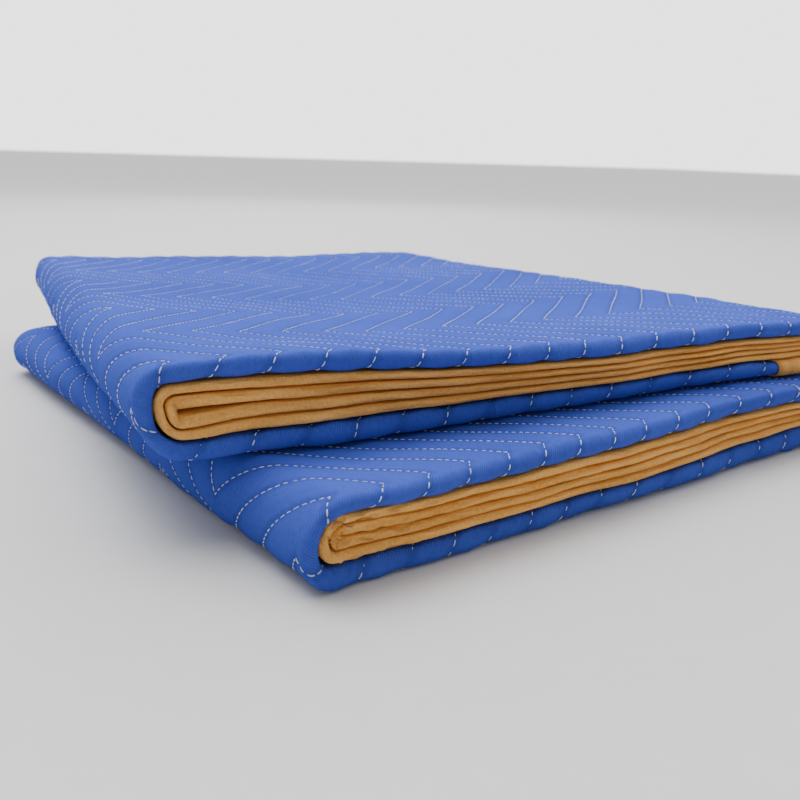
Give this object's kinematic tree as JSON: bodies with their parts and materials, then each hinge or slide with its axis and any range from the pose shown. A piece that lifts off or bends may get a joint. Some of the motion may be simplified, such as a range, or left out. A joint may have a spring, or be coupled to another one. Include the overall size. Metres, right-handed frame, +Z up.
{
  "type": "moving blanket",
  "caption": "Quilted moving blanket with bound edges, folded into a flat stack of layers that lies on a shelf or floor.",
  "frame": {"origin": "middle of the stack's footprint, on the surface it lies on", "axes": "+Z up, through the layers; the bound edges face -Y and the fold that joins the halves is at +X"},
  "size_m": [0.5534, 0.5834, 0.0852],
  "materials": {
    "quilted_cloth": "woven, matt with a slight sheen",
    "binding_tape": "woven tape, matt"
  },
  "bodies": {
    "root": {"quilt": "quilted_cloth", "binding_near": "binding_tape", "binding_far": "binding_tape", "binding_end_upper": "binding_tape", "binding_end_lower": "binding_tape"}
  },
  "joints": []
}
